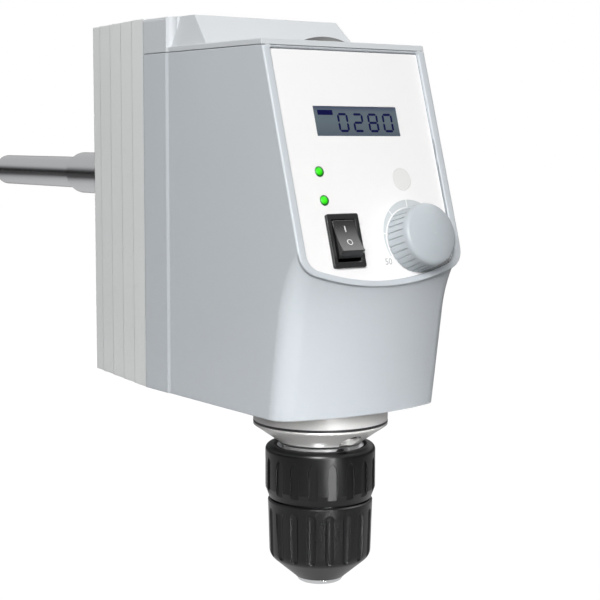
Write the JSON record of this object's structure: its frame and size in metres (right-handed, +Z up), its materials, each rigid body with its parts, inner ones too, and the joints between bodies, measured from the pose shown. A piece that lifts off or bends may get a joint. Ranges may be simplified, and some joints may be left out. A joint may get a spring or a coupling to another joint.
{
  "type": "overhead stirrer",
  "caption": "Overhead laboratory stirrer: sloped panel with display, rocker switch and speed knob, hollow spindle, keyless chuck below and a rear support rod.",
  "frame": {"origin": "on the support rod's axis, at the middle of its free length, where a boss head clamps it", "axes": "+Z up along the spindle axis, +Y back along the support rod, +X to the right seen from the front"},
  "size_m": [0.081, 0.3504, 0.2325],
  "materials": {
    "alloy": "machined",
    "bearing_steel": "ground",
    "belt_rubber": "ribbed",
    "black_screw": "black oxide",
    "button_grey": "satin",
    "cast_cover": "powder-coated die-cast",
    "chuck_black": "satin moulded",
    "circuit_board": "solder mask",
    "clear_window": "clear",
    "green_lamp": "clear tinted",
    "grey_shell": "fine satin texture",
    "inlet_black": "moulded",
    "knob_grey": "satin",
    "lcd_cell": "display cell",
    "motor_grey": "satin",
    "pale_cover": "fine satin texture",
    "rod_chrome": "polished",
    "silver_paint": "silver lacquer",
    "socket_black": "satin",
    "steel": "turned",
    "switch_black": "gloss",
    "tube_grey": "moulded",
    "white_label": "satin film"
  },
  "bodies": {
    "housing": {"main_housing": "grey_shell", "top_cover": "pale_cover", "rear_cover": "cast_cover", "top_cover_screws": "steel", "rear_cover_screws": "black_screw", "control_panel": "white_label", "lcd_window": "clear_window", "lcd_module": "lcd_cell", "upper_led": "green_lamp", "lower_led": "green_lamp", "switch_bezel": "switch_black", "potentiometer": "motor_grey", "pot_nut": "steel", "control_board": "circuit_board", "power_board": "circuit_board", "board_screws": "steel", "support_rod": "rod_chrome", "rod_socket": "socket_black", "socket_screws": "steel", "rod_set_screw": "black_screw", "power_inlet": "inlet_black", "inlet_pins": "steel", "inlet_screws": "steel", "spindle_housing": "silver_paint", "flange_screws": "steel", "bearing_cap": "silver_paint", "cap_screws": "black_screw", "lower_bearing": "bearing_steel", "upper_bearing": "bearing_steel", "motor_plate": "alloy", "plate_pillars": "alloy", "plate_screws": "steel", "motor_stator": "motor_grey", "motor_screws": "steel", "drive_belt": "belt_rubber", "passage_tube": "tube_grey"},
    "spindle": {"spindle": "steel", "spindle_pulley": "alloy", "pulley_ring": "black_screw", "chuck_body": "steel", "chuck_rear_sleeve": "chuck_black"},
    "chuck_sleeve": {"chuck_front_sleeve": "chuck_black", "chuck_nut": "steel"},
    "jaw_1": {"jaw_1": "steel"},
    "jaw_2": {"jaw_2": "steel"},
    "jaw_3": {"jaw_3": "steel"},
    "motor_rotor": {"motor_rotor": "steel", "motor_pulley": "alloy"},
    "knob": {"speed_knob": "knob_grey", "knob_shaft": "steel"},
    "rocker": {"switch_rocker": "switch_black"},
    "mode_button": {"mode_button": "button_grey"},
    "passage_cap": {"passage_cap": "socket_black"}
  },
  "joints": [
    {"name": "spindle_turn", "type": "hinge", "parent": "housing", "child": "spindle", "pos_m": [0, -0.251, -0.05], "axis": [0, 0, 1], "continuous": true},
    {"name": "motor_turn", "type": "hinge", "parent": "housing", "child": "motor_rotor", "pos_m": [0, -0.189, -0.05], "axis": [0, 0, 1], "continuous": true},
    {"name": "chuck_sleeve_turn", "type": "hinge", "parent": "spindle", "child": "chuck_sleeve", "pos_m": [0, -0.251, -0.14], "axis": [0, 0, 1], "range_deg": [0, 3107]},
    {"name": "speed_knob_turn", "type": "hinge", "parent": "housing", "child": "knob", "pos_m": [0.017, -0.28956, -0.02167], "axis": [0, 0.9563, -0.2924], "range_deg": [-25, 213]},
    {"name": "power_rocker", "type": "hinge", "parent": "housing", "child": "rocker", "pos_m": [-0.0167, -0.28613, -0.02174], "axis": [1, 0, 0], "range_deg": [0, 32]},
    {"name": "mode_press", "type": "slide", "parent": "housing", "child": "mode_button", "axis": [0, 0.9563, -0.2924], "range_m": [0, 0.0005], "stiffness_N_per_m": 600},
    {"name": "cap_lift", "type": "slide", "parent": "housing", "child": "passage_cap", "axis": [0, 0, 1], "range_m": [0, 0.02]},
    {"name": "jaw_1_slide", "type": "slide", "parent": "spindle", "child": "jaw_1", "axis": [-0.2756, 0, -0.9613], "range_m": [0, 0.01798]},
    {"name": "jaw_2_slide", "type": "slide", "parent": "spindle", "child": "jaw_2", "axis": [0.1378, -0.2387, -0.9613], "range_m": [0, 0.01798]},
    {"name": "jaw_3_slide", "type": "slide", "parent": "spindle", "child": "jaw_3", "axis": [0.1378, 0.2387, -0.9613], "range_m": [0, 0.01798]}
  ],
  "couplings": [
    {"joint": "motor_turn", "follows": "spindle_turn", "ratio": 2},
    {"joint": "jaw_1_slide", "follows": "chuck_sleeve_turn", "m_per_rad": 0.00033114},
    {"joint": "jaw_2_slide", "follows": "chuck_sleeve_turn", "m_per_rad": 0.00033114},
    {"joint": "jaw_3_slide", "follows": "chuck_sleeve_turn", "m_per_rad": 0.00033114}
  ]
}
